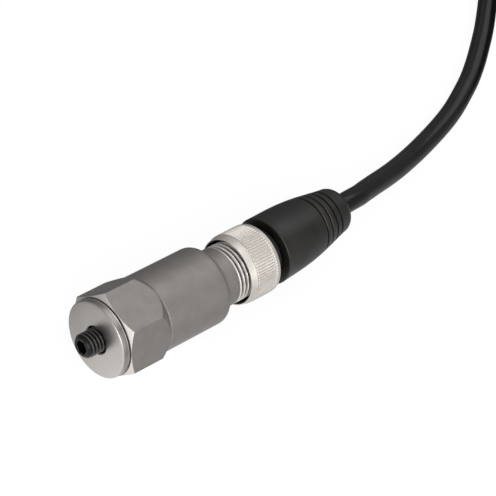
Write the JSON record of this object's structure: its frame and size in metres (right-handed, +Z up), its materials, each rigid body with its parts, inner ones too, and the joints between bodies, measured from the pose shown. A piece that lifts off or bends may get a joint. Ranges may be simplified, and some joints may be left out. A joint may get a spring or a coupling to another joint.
{
  "type": "vibration sensor",
  "caption": "Stud-mounted industrial vibration sensor with a hexagon body, a knurled coupling nut and a moulded cable plug on a coiled cable.",
  "frame": {"origin": "on the surface that the sensor lies on, under the middle of the box round the sensor and its plug, without the cable", "axes": "+X along the sensor's axis from the mounting stud towards the cable, +Z up, away from the hexagon flat that it lies on"},
  "size_m": [0.2186, 0.063, 0.0237],
  "materials": {
    "stainless": "satin turned and milled stainless steel",
    "bright_steel": "fine turned steel",
    "black_steel": "black oxide on steel, oiled",
    "ceramic": "matt fired alumina",
    "piezo": "matt fired piezo ceramic",
    "brass": "rolled sheet",
    "heavy_alloy": "ground sintered metal",
    "circuit_board": "glass laminate with solder resist",
    "chip_black": "moulded epoxy",
    "insert_plastic": "moulded polyamide",
    "gold": "gold plate on turned brass",
    "seal_rubber": "moulded fluororubber",
    "nickel": "nickel plate on turned and knurled brass",
    "black_plastic": "moulded polyurethane, matt",
    "overmould": "moulded polyurethane, finely spark-eroded",
    "cable_jacket": "extruded polyurethane, satin",
    "tie": "moulded polyamide strap",
    "core_brown": "extruded insulation",
    "core_white": "extruded insulation",
    "core_blue": "extruded insulation",
    "core_black": "extruded insulation"
  },
  "bodies": {
    "sensor_and_plug": {"amplifier_board": "circuit_board", "amplifier_chip": "chip_black", "base_insulator": "ceramic", "base_plate": "bright_steel", "board_link_pin_1": "gold", "board_link_pin_2": "gold", "board_link_pin_3": "gold", "cable": "cable_jacket", "cable_coil": "cable_jacket", "cable_tail": "cable_jacket", "coil_tie_1": "tie", "coil_tie_2": "tie", "connector_insert": "insert_plastic", "contact_carrier": "black_plastic", "contact_pin_1": "gold", "contact_pin_2": "gold", "contact_pin_3": "gold", "contact_pin_4": "gold", "core_black": "core_black", "core_blue": "core_blue", "core_brown": "core_brown", "core_white": "core_white", "electrode_ring": "brass", "insert_seal": "seal_rubber", "mounting_stud": "black_steel", "nose_seal": "seal_rubber", "output_board": "circuit_board", "output_chip": "chip_black", "overmould_body": "overmould", "piezo_ring_lower": "piezo", "piezo_ring_upper": "piezo", "preload_bolt": "bright_steel", "preload_washer": "ceramic", "seismic_mass": "heavy_alloy", "sensor_housing": "stainless", "shield_can": "brass", "signal_lead": "core_white", "socket_contact_1": "gold", "socket_contact_2": "gold", "socket_contact_3": "gold", "socket_contact_4": "gold", "spacer_lower": "insert_plastic", "spacer_upper": "insert_plastic"},
    "nut_ring": {"retaining_ring": "bright_steel"},
    "nut": {"coupling_nut": "nickel"}
  },
  "joints": [
    {"name": "nut_travel", "type": "slide", "parent": "sensor_and_plug", "child": "nut_ring", "axis": [1, 0, 0], "range_m": [0, 0.0015]},
    {"name": "nut_turn", "type": "hinge", "parent": "nut_ring", "child": "nut", "pos_m": [0, 0, 0.008], "axis": [1, 0, 0], "range_deg": [0, 540]}
  ],
  "couplings": [
    {"joint": "nut_turn", "follows": "nut_travel", "rad_per_m": 6283}
  ]
}
